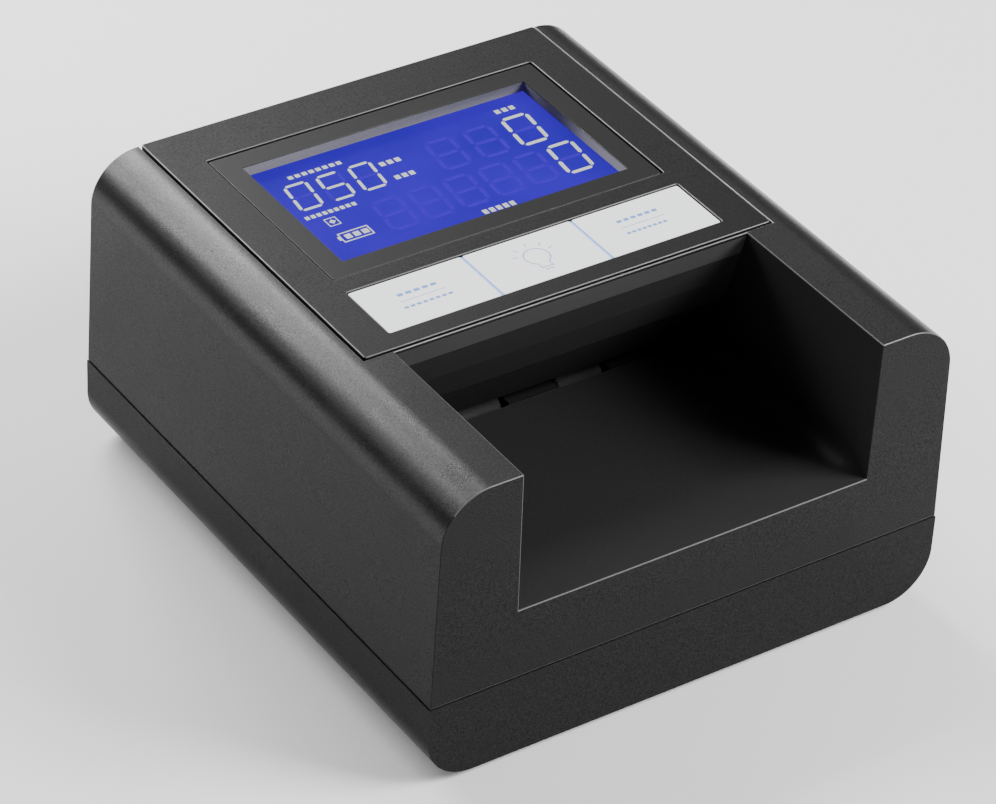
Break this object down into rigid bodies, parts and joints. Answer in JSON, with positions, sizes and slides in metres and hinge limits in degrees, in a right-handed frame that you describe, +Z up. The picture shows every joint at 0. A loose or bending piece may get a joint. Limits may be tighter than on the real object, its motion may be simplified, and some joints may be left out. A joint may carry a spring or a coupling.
{
  "type": "counterfeit bill detector",
  "caption": "Desktop banknote checker: two-part casing with a note recess open at the front and top, sloping control panel, display, keys and roller transport.",
  "frame": {"origin": "bottom centre of the whole object, on the surface that the feet stand on", "axes": "+Z up, the front with the note recess faces -Y, +X to the right seen from the front"},
  "size_m": [0.128, 0.1396, 0.0733],
  "materials": {
    "casing": "satin moulded plastic, dark grey",
    "panel": "fine matte plastic, near black",
    "lens": "clear acrylic with a dark printed border",
    "frame": "light grey plastic",
    "lcd": "blue back-lit display",
    "key": "silver white satin",
    "light": "light guide, pale blue",
    "board": "circuit board",
    "guide": "smooth black plastic",
    "steel": "bright steel",
    "rubber": "black rubber",
    "acetal": "natural acetal",
    "sensor": "dark infrared window",
    "battery": "shrink-wrapped battery pack",
    "plastic": "black moulded plastic"
  },
  "bodies": {
    "casing": {"upper_shell": "casing", "lower_shell": "casing", "battery_cover": "casing", "control_panel": "panel", "display_lens": "lens", "display_frame": "frame", "lcd_panel": "lcd", "backlight": "light", "display_board": "board", "key_light_guide": "light", "lower_note_guide": "guide", "upper_note_guide": "guide", "lower_sensor_window": "sensor", "upper_sensor_window": "sensor", "lower_sensor_board": "board", "upper_sensor_board": "board", "magnetic_head": "steel", "bearing_plate_left": "plastic", "bearing_plate_right": "plastic", "motor": "steel", "transport_belt": "rubber", "encoder_reader": "plastic", "main_board": "board", "battery_pack": "battery", "battery_cover_screw": "steel", "power_switch_housing": "plastic", "dc_inlet": "plastic", "feed_idler_spring": "steel", "eject_idler_spring": "steel", "case_screw_front_left": "steel", "foot_front_left": "rubber", "case_screw_front_right": "steel", "foot_front_right": "rubber", "case_screw_rear_left": "steel", "foot_rear_left": "rubber", "case_screw_rear_right": "steel", "foot_rear_right": "rubber"},
    "key_left": {"key_left": "key"},
    "key_middle": {"key_middle": "key"},
    "key_right": {"key_right": "key"},
    "power_rocker": {"power_switch_rocker": "plastic"},
    "feed": {"feed_shaft": "steel", "feed_roller_left": "rubber", "feed_roller_right": "rubber", "feed_pulley": "acetal", "feed_gear": "acetal"},
    "eject": {"eject_shaft": "steel", "eject_roller_left": "rubber", "eject_roller_right": "rubber", "eject_pulley": "acetal", "encoder_wheel": "plastic"},
    "feed_idlers": {"feed_idler_shaft": "steel", "feed_idler_left": "acetal", "feed_idler_right": "acetal"},
    "eject_idlers": {"eject_idler_shaft": "steel", "eject_idler_left": "acetal", "eject_idler_right": "acetal"},
    "motor_rotor": {"motor_pinion": "steel"}
  },
  "joints": [
    {"name": "key_left_press", "type": "slide", "parent": "casing", "child": "key_left", "axis": [0, 0.006, -1], "range_m": [0, 0.0005], "stiffness_N_per_m": 500, "springref_m": -0.0005},
    {"name": "key_middle_press", "type": "slide", "parent": "casing", "child": "key_middle", "axis": [0, 0.006, -1], "range_m": [0, 0.0005], "stiffness_N_per_m": 500, "springref_m": -0.0005},
    {"name": "key_right_press", "type": "slide", "parent": "casing", "child": "key_right", "axis": [0, 0.006, -1], "range_m": [0, 0.0005], "stiffness_N_per_m": 500, "springref_m": -0.0005},
    {"name": "power_rocker_tilt", "type": "hinge", "parent": "casing", "child": "power_rocker", "pos_m": [0.0215, 0.066, 0.011], "axis": [1, 0, 0], "range_deg": [0, 24]},
    {"name": "feed_spin", "type": "hinge", "parent": "casing", "child": "feed", "pos_m": [0, -0.003, 0.03215], "axis": [1, 0, 0], "continuous": true},
    {"name": "eject_spin", "type": "hinge", "parent": "casing", "child": "eject", "pos_m": [0, 0.042, 0.03215], "axis": [1, 0, 0], "continuous": true},
    {"name": "feed_idler_spin", "type": "hinge", "parent": "casing", "child": "feed_idlers", "pos_m": [0, -0.003, 0.04475], "axis": [1, 0, 0], "continuous": true},
    {"name": "eject_idler_spin", "type": "hinge", "parent": "casing", "child": "eject_idlers", "pos_m": [0, 0.042, 0.04475], "axis": [1, 0, 0], "continuous": true},
    {"name": "motor_spin", "type": "hinge", "parent": "casing", "child": "motor_rotor", "pos_m": [0, 0.00027, 0.01677], "axis": [1, 0, 0], "continuous": true}
  ],
  "couplings": [
    {"joint": "eject_spin", "follows": "feed_spin", "ratio": 1},
    {"joint": "feed_idler_spin", "follows": "feed_spin", "ratio": -1.5625},
    {"joint": "eject_idler_spin", "follows": "feed_spin", "ratio": -1.5625},
    {"joint": "motor_spin", "follows": "feed_spin", "ratio": -3.3333}
  ]
}
